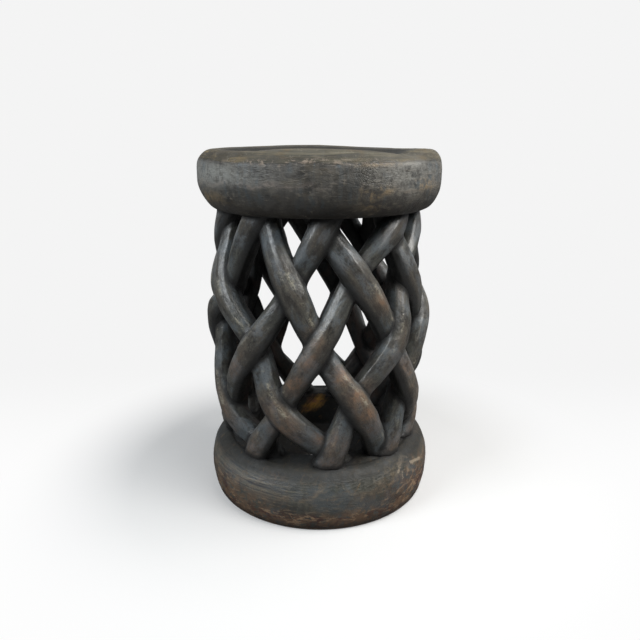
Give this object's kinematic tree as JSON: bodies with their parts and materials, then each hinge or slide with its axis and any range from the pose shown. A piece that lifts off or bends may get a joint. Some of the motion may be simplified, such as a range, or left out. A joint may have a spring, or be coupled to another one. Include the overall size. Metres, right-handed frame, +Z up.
{
  "type": "carved lattice stool",
  "caption": "Round dished stool seat on a woven barrel-shaped lattice of carved bars, standing on an open base ring.",
  "frame": {"origin": "centre of the circle that the base ring stands on, on the floor", "axes": "+Z up along the stool's axis; -Y is the side that faces the viewer in the picture, +X is that viewer's right"},
  "size_m": [0.3048, 0.3048, 0.4525],
  "materials": {
    "seat_wood": "blackened, rubbed to a grey sheen, tool marks and tan wear on the rim",
    "bar_wood": "blackened and satin, brown where the crests are worn",
    "ring_wood": "blackened, reddish brown raw wood towards the foot"
  },
  "bodies": {
    "root": {"seat": "seat_wood", "base_ring": "ring_wood", "strand_left_1": "bar_wood", "strand_left_2": "bar_wood", "strand_left_3": "bar_wood", "strand_left_4": "bar_wood", "strand_left_5": "bar_wood", "strand_left_6": "bar_wood", "strand_left_7": "bar_wood", "strand_left_8": "bar_wood", "strand_left_9": "bar_wood", "strand_right_1": "bar_wood", "strand_right_2": "bar_wood", "strand_right_3": "bar_wood", "strand_right_4": "bar_wood", "strand_right_5": "bar_wood", "strand_right_6": "bar_wood", "strand_right_7": "bar_wood", "strand_right_8": "bar_wood", "strand_right_9": "bar_wood"}
  },
  "joints": []
}
